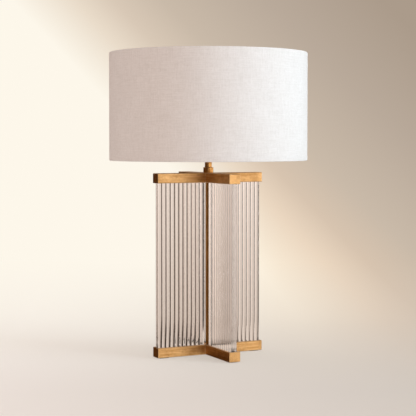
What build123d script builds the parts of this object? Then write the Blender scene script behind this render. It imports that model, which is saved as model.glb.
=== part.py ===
from build123d import *
from math import cos, pi, sin, sqrt
import os

# Column table lamp, in millimetres. The origin is on the table, under the lamp's axis, and +Z is up.
# The four arms of each cross lie along +X, -X, +Y and -Y. -Y is the front.

os.makedirs("parts", exist_ok=True)

# ---------------------------------------------------------------- driving dimensions

# Crosses: two bars of rectangular section, halved into each other
arm_length = 134.0            # axis to the end of an arm
bar_width = 28.0
bar_height = 22.5
bar_edge = 0.7                # eased edge of the bars
foot_pad_length = 24.0        # along the arm
foot_pad_width = 20.0
foot_pad_thickness = 1.5
foot_pad_setback = 18.0       # end of the arm to the middle of its pad

# Reeded glass slabs
glass_height = 381.0
glass_thickness = 16.5        # over the reeds
reed_count = 10
reed_rise = 1.7               # groove to crown
glass_margin = 9.65           # plain strip of each slab beside the centre post
glass_web = 12.0              # thickness of the plain strip
glass_setback = 3.8           # end of the arm to the outer end of the glass
glass_post_gap = 7.95         # centre post to the inner end of the glass
pocket_depth = 4.0
pocket_clearance = 0.4        # each side of the glass
glass_pad_thickness = 1.0

# Lamp rod and what it clamps
rod_diameter = 9.7
rod_bore = 6.4
rod_clearance = 0.25          # radial, in every piece the rod passes through
rod_end_projection = 1.0      # below the base nut
rod_cap_engagement = 7.5      # up into the socket cap
nut_across_flats = 14.3
nut_height = 4.8
washer_diameter = 25.0
washer_thickness = 1.6
nut_recess_diameter = 28.0
nut_recess_depth = 9.0
post_diameter = 12.7
post_wall = 1.0
post_seat_depth = 1.5         # into each cross
post_seat_clearance = 0.1

# Cord inlet in the rear arm
inlet_diameter = 10.0
inlet_height = 9.0            # above the underside of the bar
inlet_length = 14.0
bushing_clearance = 0.1
bushing_wall = 1.6
bushing_flange_diameter = 14.0
bushing_flange_thickness = 1.8
bushing_flange_edge = 1.0
wire_groove_width = 7.0
wire_groove_depth = 13.0

# Neck
collar_diameter = 23.2
collar_height = 13.0
collar_edge = 0.8
neck_diameter = 16.2
neck_height = 17.5

# Harp, its saddle and its locking sleeves
harp_height = 228.6           # underside of the saddle to the shade's seat
harp_wire = 3.2
harp_foot_span = 63.6         # between the wire's two feet
harp_belly_span = 114.0       # at the widest
harp_belly_height = 135.0     # underside of the saddle to the widest place
harp_straight = 34.0          # straight wire above the saddle's shoulders
harp_shoulder_span = 72.0     # between the upper corners of the loop
harp_foot_radius = 25.0
harp_belly_radius = 40.0
harp_top_radius = 18.0
saddle_width = 12.7
saddle_thickness = 1.6
saddle_bend_radius = 9.0
saddle_shoulder = 16.0        # underside of the saddle to its shoulders
tongue_width = 6.0
tongue_height = 14.0
sleeve_diameter = 9.6
sleeve_wall = 0.9
sleeve_height = 13.0
sleeve_gap = 0.3              # sleeve at rest to the saddle's shoulders
seat_diameter = 16.0
seat_thickness = 2.2          # above the wire
stud_diameter = 6.35
stud_length = 14.0

# Socket
cap_hub_diameter = 16.4
cap_hub_height = 12.0
cap_floor = 3.0
cap_diameter = 34.4
cap_wall = 0.8
cap_skirt = 9.0
shell_wall = 0.5
shell_height = 45.0
shell_clearance = 0.1
insulator_diameter = 26.4
insulator_height = 19.5
insulator_flange_thickness = 3.0
screw_shell_wall = 0.4
screw_shell_height = 24.0
contact_width = 6.0
contact_thickness = 0.5
contact_reach = 9.0
contact_heel = 1.0            # where the tongue leaves the floor, past the axis
contact_rise = 3.4
lip_clearance = 0.3

# Switch
switch_rise = 4.5             # above the skirt of the socket cap
shaft_diameter = 3.0
shaft_clearance = 0.05
shaft_depth = 8.0             # into the insulator
nipple_seat_depth = 1.0       # flat cut into the insulator for the nipple
nipple_diameter = 7.0
nipple_length = 7.0           # out from the insulator
knob_gap = 0.4
knob_hub_diameter = 8.0
knob_hub_length = 5.0
shaft_engagement = 4.0        # into the hub of the knob
paddle_width = 14.0
paddle_thickness = 4.0
paddle_length = 9.0
paddle_corner = 3.0

# Bulb
bulb_diameter = 45.0
bulb_glass_wall = 0.9
bulb_shoulder_height = 12.0   # cone between neck and tube
bulb_end_edge = 5.0           # bevel round the closed end
bulb_length = 106.0
bulb_cap_diameter = 26.0
bulb_cap_wall = 0.4
bulb_cap_floor = 1.2
bulb_cap_height = 23.0
bulb_cap_clearance = 0.3      # radial, in the screw shell
bulb_insulator_diameter = 18.0
bulb_insulator_height = 3.4
bulb_contact_diameter = 9.0
bulb_contact_height = 1.4
bulb_contact_gap = 0.3

# Shade
shade_diameter = 457.2
shade_height = 247.5
linen_thickness = 0.6
liner_thickness = 0.5
ring_thickness = 1.2          # hoops of flat strip
ring_height = 5.0
ring_clearance = 0.2          # hoop to the liner, and hoop to the turned-in linen
hem_depth = 10.0              # rim to the edge of the turned-in linen
slit_clearance = 0.3          # round an arm of the spider, in the turned-in linen
spider_wire = 3.0
spider_drop = 15.8            # rim of the shade down to the hub
spider_arm_count = 3
hub_diameter = 29.0
hub_thickness = 2.0
hub_clearance = 0.1           # radial, on the stud
turn_gap = 0.15               # hub to its seat, and finial to the hub

# Finial
finial_height = 24.0
finial_foot_diameter = 14.0
finial_foot_height = 2.6
finial_waist_diameter = 8.8
finial_waist_height = 3.4
finial_knob_diameter = 12.7
finial_top_edge = 2.0
finial_tip_clearance = 1.0    # end of the stud to the bottom of its hole

# ---------------------------------------------------------------- heights that follow from them

base_bottom = foot_pad_thickness
base_top = base_bottom + bar_height
glass_bottom = base_top - pocket_depth + glass_pad_thickness
glass_top = glass_bottom + glass_height
top_cross_bottom = glass_top + glass_pad_thickness - pocket_depth
top_cross_top = top_cross_bottom + bar_height
collar_top = top_cross_top + collar_height
neck_top = collar_top + neck_height
harp_top = neck_top + harp_height
saddle_top = neck_top + saddle_thickness
shoulder_level = neck_top + saddle_shoulder
tongue_top = shoulder_level + tongue_height
wire_level = harp_top - seat_thickness - harp_wire / 2
recess_top = base_bottom + nut_recess_depth
washer_bottom = recess_top - washer_thickness
nut_bottom = washer_bottom - nut_height
rod_bottom = nut_bottom - rod_end_projection
rod_top = saddle_top + rod_cap_engagement

rod_hole = rod_diameter + 2 * rod_clearance
arm_angles = {"right": 0, "back": 90, "left": 180, "front": 270}
glass_outer = arm_length - glass_setback
glass_inner = post_diameter / 2 + glass_post_gap
glass_width = glass_outer - glass_inner
glass_middle = (glass_outer + glass_inner) / 2
reeds_inner = glass_inner + glass_margin
reed_pitch = (glass_outer - reeds_inner) / reed_count


def finish(piece, name):
    """Label a finished piece and write it under its own name."""
    piece.part.label = name
    export_step(piece.part, f"parts/{name}.step")


# ---------------------------------------------------------------- crosses


def solid_cross(bottom):
    """Two crossing bars with eased edges, standing on the given level. Joins the open part."""
    with BuildSketch(Plane.XY.offset(bottom)) as bars:
        Rectangle(2 * arm_length, bar_width)
        Rectangle(bar_width, 2 * arm_length)
    extrude(bars.sketch, amount=bar_height)


def outer_edges(part):
    """Every edge of a plain cross but the four upright ones in its inner corners."""
    uprights = part.edges().filter_by(Axis.Z)
    corner_reach = arm_length / 2
    inner = [e for e in uprights if max(abs(e.center().X), abs(e.center().Y)) < corner_reach]
    return [e for e in part.edges() if e not in inner]


def glass_pockets(level, direction):
    """Four pockets for the ends of the slabs, cut from the level in the given direction."""
    with BuildSketch(Plane.XY.offset(level)) as pockets:
        with PolarLocations(glass_middle, 4):
            Rectangle(glass_width + 2 * pocket_clearance, glass_thickness + 2 * pocket_clearance)
    extrude(pockets.sketch, amount=direction * pocket_depth, mode=Mode.SUBTRACT)


def post_seat(level, direction):
    """Shallow round seat for the end of the centre post, with the rod's hole through the bar."""
    with BuildSketch(Plane.XY.offset(level)) as seat:
        Circle(post_diameter / 2 + post_seat_clearance)
    extrude(seat.sketch, amount=direction * post_seat_depth, mode=Mode.SUBTRACT)
    with BuildSketch(Plane.XY.offset(level)) as hole:
        Circle(rod_hole / 2)
    extrude(hole.sketch, amount=direction * bar_height, mode=Mode.SUBTRACT)


with BuildPart() as base_cross:
    solid_cross(base_bottom)
    chamfer(outer_edges(base_cross), length=bar_edge)
    glass_pockets(base_top, -1)
    post_seat(base_top, -1)
    # Recess for the nut, and the groove that brings the wires in from the rear arm
    with BuildSketch(Plane.XY.offset(base_bottom)):
        Circle(nut_recess_diameter / 2)
    extrude(amount=nut_recess_depth, mode=Mode.SUBTRACT)
    groove_end = arm_length - inlet_length
    with BuildSketch(Plane.XY.offset(base_bottom)):
        with Locations((0, groove_end / 2)):
            Rectangle(wire_groove_width, groove_end)
    extrude(amount=wire_groove_depth, mode=Mode.SUBTRACT)
    # Hole for the cord bushing, through the end of the rear arm into the groove
    inlet_plane = Plane(origin=(0, arm_length, base_bottom + inlet_height), z_dir=(0, -1, 0))
    with BuildSketch(inlet_plane):
        Circle(inlet_diameter / 2)
    extrude(amount=inlet_length, mode=Mode.SUBTRACT)
finish(base_cross, "base_cross")

with BuildPart() as top_cross:
    solid_cross(top_cross_bottom)
    chamfer(outer_edges(top_cross), length=bar_edge)
    glass_pockets(top_cross_bottom, 1)
    post_seat(top_cross_bottom, 1)
finish(top_cross, "top_cross")

with BuildPart() as foot_pads:
    with BuildSketch(Plane.XY):
        with PolarLocations(arm_length - foot_pad_setback, 4):
            Rectangle(foot_pad_length, foot_pad_width)
    extrude(amount=foot_pad_thickness)
finish(foot_pads, "foot_pads")

# ---------------------------------------------------------------- glass


def reeded_outline():
    """Cross-section of a slab, reeded on both faces, with a thinner plain strip by the post."""
    groove = glass_thickness / 2 - reed_rise
    web = glass_web / 2
    with BuildLine() as outline:
        for side in (1, -1):
            Line((glass_inner, side * web), (reeds_inner, side * web))
            Line((reeds_inner, side * web), (reeds_inner, side * groove))
            for i in range(reed_count):
                start = reeds_inner + i * reed_pitch
                middle = start + reed_pitch / 2
                end = start + reed_pitch
                ThreePointArc(
                    (start, side * groove),
                    (middle, side * glass_thickness / 2),
                    (end, side * groove),
                )
        Line((glass_inner, -web), (glass_inner, web))
        Line((glass_outer, -groove), (glass_outer, groove))
    make_face(outline.edges())


for arm, angle in arm_angles.items():
    with BuildPart() as panel:
        with BuildSketch(Plane.XY.offset(glass_bottom).rotated((0, 0, angle))):
            reeded_outline()
        extrude(amount=glass_height)
    finish(panel, f"glass_panel_{arm}")

for level, name in ((base_top - pocket_depth, "glass_pads_lower"), (glass_top, "glass_pads_upper")):
    with BuildPart() as pads:
        with BuildSketch(Plane.XY.offset(level)):
            with PolarLocations(glass_middle, 4):
                Rectangle(glass_width, glass_thickness)
        extrude(amount=glass_pad_thickness)
    finish(pads, name)

# ---------------------------------------------------------------- rod, post and fastening


def tube(bottom, height, diameter, bore):
    """Round tube or disc with a hole, standing on the given level. Joins the open part."""
    with BuildSketch(Plane.XY.offset(bottom)) as section:
        Circle(diameter / 2)
        Circle(bore / 2, mode=Mode.SUBTRACT)
    extrude(section.sketch, amount=height)


with BuildPart() as lamp_rod:
    tube(rod_bottom, rod_top - rod_bottom, rod_diameter, rod_bore)
finish(lamp_rod, "lamp_rod")

with BuildPart() as base_washer:
    tube(washer_bottom, washer_thickness, washer_diameter, rod_hole)
finish(base_washer, "base_washer")

with BuildPart() as base_nut:
    with BuildSketch(Plane.XY.offset(nut_bottom)):
        RegularPolygon(nut_across_flats / 2, 6, major_radius=False)
        Circle(rod_diameter / 2, mode=Mode.SUBTRACT)
    extrude(amount=nut_height)
finish(base_nut, "base_nut")

with BuildPart() as centre_post:
    post_bottom = base_top - post_seat_depth
    post_top = top_cross_bottom + post_seat_depth
    tube(post_bottom, post_top - post_bottom, post_diameter, post_diameter - 2 * post_wall)
finish(centre_post, "centre_post")

# Snap bushing in the rear arm: a sleeve in the hole with a flange outside
with BuildPart() as cord_bushing:
    barrel_radius = inlet_diameter / 2 - bushing_clearance
    flange_radius = bushing_flange_diameter / 2
    with BuildSketch(Plane(origin=(0, arm_length, base_bottom + inlet_height), z_dir=(0, 1, 0))):
        Circle(barrel_radius)
    extrude(amount=-inlet_length)
    with BuildSketch(Plane(origin=(0, arm_length, base_bottom + inlet_height), z_dir=(0, 1, 0))):
        Circle(flange_radius)
    extrude(amount=bushing_flange_thickness)
    chamfer(cord_bushing.faces().sort_by(Axis.Y)[-1].edges(), length=bushing_flange_edge)
    with BuildSketch(Plane(origin=(0, arm_length + bushing_flange_thickness,
                                   base_bottom + inlet_height), z_dir=(0, -1, 0))):
        Circle(barrel_radius - bushing_wall)
    extrude(amount=inlet_length + bushing_flange_thickness, mode=Mode.SUBTRACT)
finish(cord_bushing, "cord_bushing")

# ---------------------------------------------------------------- neck

with BuildPart() as neck_collar:
    tube(top_cross_top, collar_height, collar_diameter, rod_hole)
    chamfer(neck_collar.faces().sort_by(Axis.Z)[-1].edges().sort_by(SortBy.RADIUS)[-1], collar_edge)
finish(neck_collar, "neck_collar")

with BuildPart() as neck_tube:
    tube(collar_top, neck_height, neck_diameter, rod_hole)
finish(neck_tube, "neck_tube")

# ---------------------------------------------------------------- harp

foot = harp_foot_span / 2
belly = harp_belly_span / 2
loop_corner = harp_shoulder_span / 2
wire_start = tongue_top + sleeve_gap
straight_top = shoulder_level + harp_straight

# Saddle: a strap bent up at both ends, each end narrowed to a tongue
with BuildPart() as harp_saddle:
    strap_x = foot - saddle_thickness / 2
    strap_z = neck_top + saddle_thickness / 2
    with BuildSketch(Plane.XZ):
        with BuildLine() as strap:
            FilletPolyline(
                (-strap_x, tongue_top),
                (-strap_x, strap_z),
                (strap_x, strap_z),
                (strap_x, tongue_top),
                radius=saddle_bend_radius,
            )
        trace(line_width=saddle_thickness)
    extrude(amount=saddle_width / 2, both=True)
    # The tongues are as wide as the sleeves take, from the shoulders up
    with BuildSketch(Plane.XY.offset(shoulder_level)):
        Rectangle(harp_foot_span + saddle_width, saddle_width)
        Rectangle(harp_foot_span + saddle_width, tongue_width, mode=Mode.SUBTRACT)
    extrude(amount=tongue_height, mode=Mode.SUBTRACT)
    with BuildSketch(Plane.XY.offset(neck_top)):
        Circle(rod_hole / 2)
    extrude(amount=saddle_thickness, mode=Mode.SUBTRACT)
finish(harp_saddle, "harp_saddle")

# Harp: one bent wire whose ends are flattened to lie against the saddle's tongues
with BuildPart() as harp:
    belly_level = neck_top + harp_belly_height
    with BuildLine(Plane.XZ) as loop:
        FilletPolyline(
            (foot, wire_start),
            (foot, straight_top),
            (belly, belly_level),
            (loop_corner, wire_level),
            (-loop_corner, wire_level),
            (-belly, belly_level),
            (-foot, straight_top),
            (-foot, wire_start),
            radius=[
                harp_foot_radius,
                harp_belly_radius,
                harp_top_radius,
                harp_top_radius,
                harp_belly_radius,
                harp_foot_radius,
            ],
        )
    with BuildSketch(Plane.XY.offset(wire_start)):
        with Locations((foot, 0)):
            Circle(harp_wire / 2)
    sweep()
    with BuildSketch(Plane.XY.offset(shoulder_level + sleeve_gap)):
        for side in (1, -1):
            with Locations((side * (foot + harp_wire / 4), 0)):
                Rectangle(harp_wire / 2, tongue_width)
    extrude(amount=tongue_height + harp_wire)
finish(harp, "harp")

for side, name in ((-1, "harp_sleeve_left"), (1, "harp_sleeve_right")):
    with BuildPart() as sleeve:
        with BuildSketch(Plane.XY.offset(shoulder_level + sleeve_gap)):
            with Locations((side * foot, 0)):
                Circle(sleeve_diameter / 2)
                Circle(sleeve_diameter / 2 - sleeve_wall, mode=Mode.SUBTRACT)
        extrude(amount=sleeve_height)
    finish(sleeve, name)

# Seat brazed over the top of the wire, with the threaded stud for the finial
with BuildPart() as harp_seat:
    with BuildSketch(Plane.XY.offset(wire_level)):
        Circle(seat_diameter / 2)
    extrude(amount=harp_top - wire_level)
    with BuildSketch(Plane.XY.offset(harp_top)):
        Circle(stud_diameter / 2)
    extrude(amount=stud_length)
    add(harp.part, mode=Mode.SUBTRACT)
finish(harp_seat, "harp_seat")

# ---------------------------------------------------------------- socket

cap_radius = cap_diameter / 2
cap_inner = cap_radius - cap_wall
cup_bottom = saddle_top + cap_hub_height
ledge_level = cup_bottom + cap_floor
shell_outer = cap_inner - shell_clearance
shell_inner = shell_outer - shell_wall
insulator_top = ledge_level + insulator_height
skirt_top = ledge_level + cap_skirt
switch_level = skirt_top + switch_rise

# Cap turned from brass: a hub under a cup, whose floor carries the shell and the insulator
with BuildPart() as socket_cap:
    with BuildSketch(Plane.XZ):
        with BuildLine():
            Polyline(
                (rod_diameter / 2, saddle_top),
                (cap_hub_diameter / 2, saddle_top),
                (cap_hub_diameter / 2, cup_bottom),
                (cap_radius, cup_bottom),
                (cap_radius, skirt_top),
                (cap_inner, skirt_top),
                (cap_inner, ledge_level),
                (rod_diameter / 2, ledge_level),
                close=True,
            )
        make_face()
    revolve(axis=Axis.Z)
finish(socket_cap, "socket_cap")


def front_plane(distance):
    """Upright plane facing the front, this far before the lamp's axis, on the switch's axis."""
    return Plane(origin=(0, -distance, switch_level), z_dir=(0, -1, 0))


with BuildPart() as socket_shell:
    tube(ledge_level, shell_height, 2 * shell_outer, 2 * shell_inner)
    # Hole in the front wall for the nipple of the switch
    with BuildSketch(front_plane(0)):
        Circle(nipple_diameter / 2 + lip_clearance)
    extrude(amount=cap_diameter, mode=Mode.SUBTRACT)
finish(socket_shell, "socket_shell")

with BuildPart() as socket_insulator:
    with BuildSketch(Plane.XY.offset(ledge_level)):
        Circle(shell_inner - shell_clearance)
    extrude(amount=insulator_flange_thickness)
    with BuildSketch(Plane.XY.offset(ledge_level)):
        Circle(insulator_diameter / 2)
    extrude(amount=insulator_height)
    nipple_root = insulator_diameter / 2 - nipple_seat_depth
    with BuildSketch(front_plane(nipple_root)):
        Circle(nipple_diameter / 2)
    extrude(amount=cap_diameter, mode=Mode.SUBTRACT)
    with BuildSketch(front_plane(insulator_diameter / 2 - shaft_depth)):
        Circle(shaft_diameter / 2 + shaft_clearance)
    extrude(amount=shaft_depth, mode=Mode.SUBTRACT)
finish(socket_insulator, "socket_insulator")

with BuildPart() as screw_shell:
    mouth = bulb_cap_diameter + 2 * bulb_cap_clearance
    tube(insulator_top, screw_shell_height, mouth + 2 * screw_shell_wall, mouth)
finish(screw_shell, "screw_shell")

# Springy tongue that rises inside the screw shell to meet the bulb
with BuildPart() as centre_contact:
    contact_end = contact_reach / 2
    tongue_low = insulator_top + contact_thickness / 2
    tongue_high = insulator_top + contact_rise - contact_thickness / 2
    with BuildSketch(Plane.XZ):
        with BuildLine():
            FilletPolyline(
                (-contact_end, tongue_low),
                (contact_heel, tongue_low),
                (contact_end, tongue_high),
                (0, tongue_high),
                radius=contact_thickness,
            )
        trace(line_width=contact_thickness)
    extrude(amount=contact_width / 2, both=True)
finish(centre_contact, "centre_contact")

# ---------------------------------------------------------------- switch

nipple_end = nipple_root + nipple_length
knob_start = nipple_end + knob_gap
paddle_start = knob_start + knob_hub_length

with BuildPart() as switch_nipple:
    with BuildSketch(front_plane(nipple_root)):
        Circle(nipple_diameter / 2)
        Circle(shaft_diameter / 2 + shaft_clearance, mode=Mode.SUBTRACT)
    extrude(amount=nipple_length)
finish(switch_nipple, "switch_nipple")

with BuildPart() as switch_shaft:
    shaft_start = insulator_diameter / 2 - shaft_depth + lip_clearance
    with BuildSketch(front_plane(shaft_start)):
        Circle(shaft_diameter / 2)
    extrude(amount=knob_start + shaft_engagement - shaft_start)
finish(switch_shaft, "switch_shaft")

# Turn key: a round hub with a flat paddle for two fingers
with BuildPart() as switch_knob:
    with BuildSketch(front_plane(knob_start)):
        Circle(knob_hub_diameter / 2)
    extrude(amount=knob_hub_length)
    with BuildSketch(Plane.XY.offset(switch_level)) as paddle:
        with Locations((0, -paddle_start - paddle_length / 2)):
            Rectangle(paddle_width, paddle_length)
        chamfer(paddle.vertices().group_by(Axis.Y)[0], length=paddle_corner)
    extrude(amount=paddle_thickness / 2, both=True)
    with BuildSketch(front_plane(knob_start)):
        Circle(shaft_diameter / 2)
    extrude(amount=shaft_engagement, mode=Mode.SUBTRACT)
finish(switch_knob, "switch_knob")

# ---------------------------------------------------------------- bulb

contact_bottom = insulator_top + contact_rise + bulb_contact_gap
insulator_bottom = contact_bottom + bulb_contact_height
bulb_cap_bottom = insulator_bottom + bulb_insulator_height
bulb_cap_top = bulb_cap_bottom + bulb_cap_height
bulb_top = contact_bottom + bulb_length

with BuildPart() as bulb_contact:
    with BuildSketch(Plane.XY.offset(contact_bottom)):
        Circle(bulb_contact_diameter / 2)
    extrude(amount=bulb_contact_height)
finish(bulb_contact, "bulb_contact")

with BuildPart() as bulb_insulator:
    with BuildSketch(Plane.XY.offset(insulator_bottom)):
        Circle(bulb_insulator_diameter / 2)
    extrude(amount=bulb_insulator_height)
finish(bulb_insulator, "bulb_insulator")

# Cap: a thin cup crimped round the neck of the glass
neck_radius = bulb_cap_diameter / 2 - bulb_cap_wall
neck_bottom = bulb_cap_bottom + bulb_cap_floor

with BuildPart() as bulb_cap:
    with BuildSketch(Plane.XY.offset(bulb_cap_bottom)):
        Circle(bulb_cap_diameter / 2)
    extrude(amount=bulb_cap_height)
    with BuildSketch(Plane.XY.offset(neck_bottom)):
        Circle(neck_radius)
    extrude(amount=bulb_cap_height, mode=Mode.SUBTRACT)
finish(bulb_cap, "bulb_cap")

# Tubular glass: neck in the cap, shoulder, straight tube and a bevelled end, open at the neck
with BuildPart() as bulb_glass:
    with BuildSketch(Plane.XZ):
        with BuildLine():
            Polyline(
                (0, neck_bottom),
                (neck_radius, neck_bottom),
                (neck_radius, bulb_cap_top),
                (bulb_diameter / 2, bulb_cap_top + bulb_shoulder_height),
                (bulb_diameter / 2, bulb_top - bulb_end_edge),
                (bulb_diameter / 2 - bulb_end_edge, bulb_top),
                (0, bulb_top),
                close=True,
            )
        make_face()
    revolve(axis=Axis.Z)
    offset(
        amount=-bulb_glass_wall,
        openings=bulb_glass.faces().sort_by(Axis.Z)[0],
        kind=Kind.INTERSECTION,
    )
finish(bulb_glass, "bulb_glass")

# ---------------------------------------------------------------- shade

hub_bottom = harp_top + turn_gap
hub_top = hub_bottom + hub_thickness
hub_middle = (hub_bottom + hub_top) / 2
shade_top = hub_middle + spider_drop
shade_bottom = shade_top - shade_height

linen_outer = shade_diameter / 2
linen_inner = linen_outer - linen_thickness
liner_face = linen_inner - liner_thickness
ring_outer = liner_face - ring_clearance
ring_inner = ring_outer - ring_thickness
leg_outer = ring_inner - ring_clearance
leg_inner = leg_outer - linen_thickness
fold_bottom = shade_bottom + linen_thickness
fold_top = shade_top - linen_thickness
upper_ring_level = fold_top - ring_height / 2

with BuildPart() as shade_liner:
    tube(fold_bottom, fold_top - fold_bottom, 2 * linen_inner, 2 * liner_face)
finish(shade_liner, "shade_liner")

with BuildPart() as upper_ring:
    tube(fold_top - ring_height, ring_height, 2 * ring_outer, 2 * ring_inner)
finish(upper_ring, "shade_ring_upper")

with BuildPart() as lower_ring:
    tube(fold_bottom, ring_height, 2 * ring_outer, 2 * ring_inner)
finish(lower_ring, "shade_ring_lower")

spider_angles = [pi / 2 + i * 2 * pi / spider_arm_count for i in range(spider_arm_count)]


def facing_outward(angle, distance):
    """Upright plane at this distance from the axis. Its own X runs around the lamp, its Y up."""
    outward = Vector(cos(angle), sin(angle), 0)
    return Plane(origin=outward * distance, x_dir=(-sin(angle), cos(angle), 0), z_dir=outward)


def along_arm(angle):
    """Upright plane through the axis. Its own X runs outward at this angle, its Y up."""
    return Plane(origin=(0, 0, 0), x_dir=(cos(angle), sin(angle), 0), z_dir=(sin(angle), -cos(angle), 0))


# Linen drum, folded over each hoop and glued up its inside
with BuildPart() as shade_linen:
    with BuildSketch(Plane.XZ):
        with BuildLine():
            Polyline(
                (linen_outer, shade_bottom),
                (linen_outer, shade_top),
                (leg_inner, shade_top),
                (leg_inner, shade_top - hem_depth),
                (leg_outer, shade_top - hem_depth),
                (leg_outer, fold_top),
                (linen_inner, fold_top),
                (linen_inner, fold_bottom),
                (leg_outer, fold_bottom),
                (leg_outer, shade_bottom + hem_depth),
                (leg_inner, shade_bottom + hem_depth),
                (leg_inner, shade_bottom),
                close=True,
            )
        make_face()
    revolve(axis=Axis.Z)
    # Slits in the turned-in linen, where the arms of the spider pass through to the hoop
    slit_width = spider_wire + 2 * slit_clearance
    for angle in spider_angles:
        with BuildSketch(facing_outward(angle, leg_inner - slit_clearance)):
            with Locations((0, upper_ring_level + slit_width / 2 - hem_depth / 2)):
                Rectangle(slit_width, hem_depth)
        extrude(amount=linen_thickness + 2 * slit_clearance, mode=Mode.SUBTRACT)
finish(shade_linen, "shade_linen")

# Spider: a hub that sits on the harp's seat, and straight wire arms that climb to the upper hoop
with BuildPart() as shade_spider:
    tube(hub_bottom, hub_thickness, hub_diameter, stud_diameter + 2 * hub_clearance)
    arm_start = hub_diameter / 2 - spider_wire
    for angle in spider_angles:
        with BuildLine(along_arm(angle)) as arm:
            Line((arm_start, hub_middle), (ring_outer - ring_thickness / 2, upper_ring_level))
        with BuildSketch(Plane(origin=arm.line @ 0, z_dir=arm.line % 0)):
            Circle(spider_wire / 2)
        sweep()
    add(upper_ring.part, mode=Mode.SUBTRACT)
finish(shade_spider, "shade_spider")

# ---------------------------------------------------------------- finial

with BuildPart() as finial:
    finial_bottom = hub_top + turn_gap
    finial_top = finial_bottom + finial_height
    waist_bottom = finial_bottom + finial_foot_height
    waist_top = waist_bottom + finial_waist_height
    knob_radius = finial_knob_diameter / 2
    with BuildSketch(Plane.XZ):
        with BuildLine():
            Polyline(
                (0, finial_bottom),
                (finial_foot_diameter / 2, finial_bottom),
                (finial_foot_diameter / 2, waist_bottom),
                (finial_waist_diameter / 2, waist_bottom),
                (finial_waist_diameter / 2, waist_top),
                (knob_radius, waist_top),
                (knob_radius, finial_top - finial_top_edge),
                (knob_radius - finial_top_edge, finial_top),
                (0, finial_top),
                close=True,
            )
        make_face()
    revolve(axis=Axis.Z)
    hole_top = harp_top + stud_length + finial_tip_clearance
    with BuildSketch(Plane.XY.offset(finial_bottom)):
        Circle(stud_diameter / 2 + hub_clearance)
    extrude(amount=hole_top - finial_bottom, mode=Mode.SUBTRACT)
finish(finial, "finial")
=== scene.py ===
import math

import bmesh
import bpy
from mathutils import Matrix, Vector


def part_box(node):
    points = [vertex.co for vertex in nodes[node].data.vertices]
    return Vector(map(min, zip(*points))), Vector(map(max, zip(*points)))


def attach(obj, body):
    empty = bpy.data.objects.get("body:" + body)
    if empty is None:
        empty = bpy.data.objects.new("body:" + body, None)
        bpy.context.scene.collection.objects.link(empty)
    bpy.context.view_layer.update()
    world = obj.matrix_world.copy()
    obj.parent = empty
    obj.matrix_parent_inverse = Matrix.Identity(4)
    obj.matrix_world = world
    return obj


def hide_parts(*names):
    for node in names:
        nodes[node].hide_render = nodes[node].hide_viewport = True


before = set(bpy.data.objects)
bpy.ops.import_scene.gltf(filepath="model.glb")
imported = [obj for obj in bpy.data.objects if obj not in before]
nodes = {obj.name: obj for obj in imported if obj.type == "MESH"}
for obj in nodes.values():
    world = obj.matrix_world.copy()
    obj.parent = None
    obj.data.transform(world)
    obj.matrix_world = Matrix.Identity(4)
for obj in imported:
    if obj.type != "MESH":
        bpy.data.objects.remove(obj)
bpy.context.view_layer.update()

# ---------------------------------------------------------------- felt feet
# Four pads of dark wool felt, glued under the ends of the arms, so that the brass doesn't
# scratch the table. Die-cut, with soft corners and a slightly fuzzy edge.

felt_colour = (0.028, 0.024, 0.021, 1)
felt_light = (0.06, 0.052, 0.046, 1)
foot_length, foot_width = 0.024, 0.020
felt_corner = 0.003
felt_edge = 0.0004


def material(name, colour, roughness, metallic=0.0):
    """A material with one Principled shader. Returns the material, its node tree and the shader."""
    made = bpy.data.materials.new(name)
    made.use_nodes = True
    tree = made.node_tree
    shader = tree.nodes["Principled BSDF"]
    shader.inputs["Base Color"].default_value = colour
    shader.inputs["Roughness"].default_value = roughness
    shader.inputs["Metallic"].default_value = metallic
    return made, tree, shader


def node(tree, kind, **settings):
    """A node with its settings. A setting named after a socket sets that socket's value."""
    made = tree.nodes.new(kind)
    for name, value in settings.items():
        if hasattr(made, name):
            setattr(made, name, value)
        else:
            made.inputs[name.replace("_", " ")].default_value = value
    return made


def link(tree, *pairs):
    """Joins sockets: each pair is (output, input)."""
    for start, end in pairs:
        tree.links.new(start, end)


def effect(name, inputs, outputs):
    """An empty shader node group. Sockets are given as a name with its kind or (kind, value)."""
    group = bpy.data.node_groups.new(name, "ShaderNodeTree")
    for in_out, sockets in (("INPUT", inputs), ("OUTPUT", outputs)):
        for socket, kind in sockets.items():
            kind, value = kind if isinstance(kind, tuple) else (kind, None)
            made = group.interface.new_socket(socket, in_out=in_out, socket_type="NodeSocket" + kind)
            if value is not None:
                made.default_value = value
    return group, group.nodes.new("NodeGroupInput"), group.nodes.new("NodeGroupOutput")


def place(tree, group, **values):
    """An effect placed in a material with its own values."""
    made = tree.nodes.new("ShaderNodeGroup")
    made.node_tree = group
    for name, value in values.items():
        made.inputs[name.replace("_", " ")].default_value = value
    return made


def feed(tree, value, socket):
    """Gives a socket a plain value, or joins another socket to it."""
    if isinstance(value, bpy.types.NodeSocket):
        link(tree, (value, socket))
    else:
        socket.default_value = value


def compute(tree, operation, *values):
    """A math node over sockets or plain numbers. Returns its result."""
    made = node(tree, "ShaderNodeMath", operation=operation)
    for value, socket in zip(values, made.inputs):
        feed(tree, value, socket)
    return made.outputs[0]


def spread(tree, value, low, high, to=(0, 1), smooth=False):
    """Turns the range from low to high into 0 to 1, or into another range."""
    part = node(tree, "ShaderNodeMapRange", interpolation_type="SMOOTHSTEP" if smooth else "LINEAR")
    for key, number in zip(("From Min", "From Max", "To Min", "To Max"), (low, high, *to)):
        part.inputs[key].default_value = number
    link(tree, (value, part.inputs["Value"]))
    return part.outputs["Result"]


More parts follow.
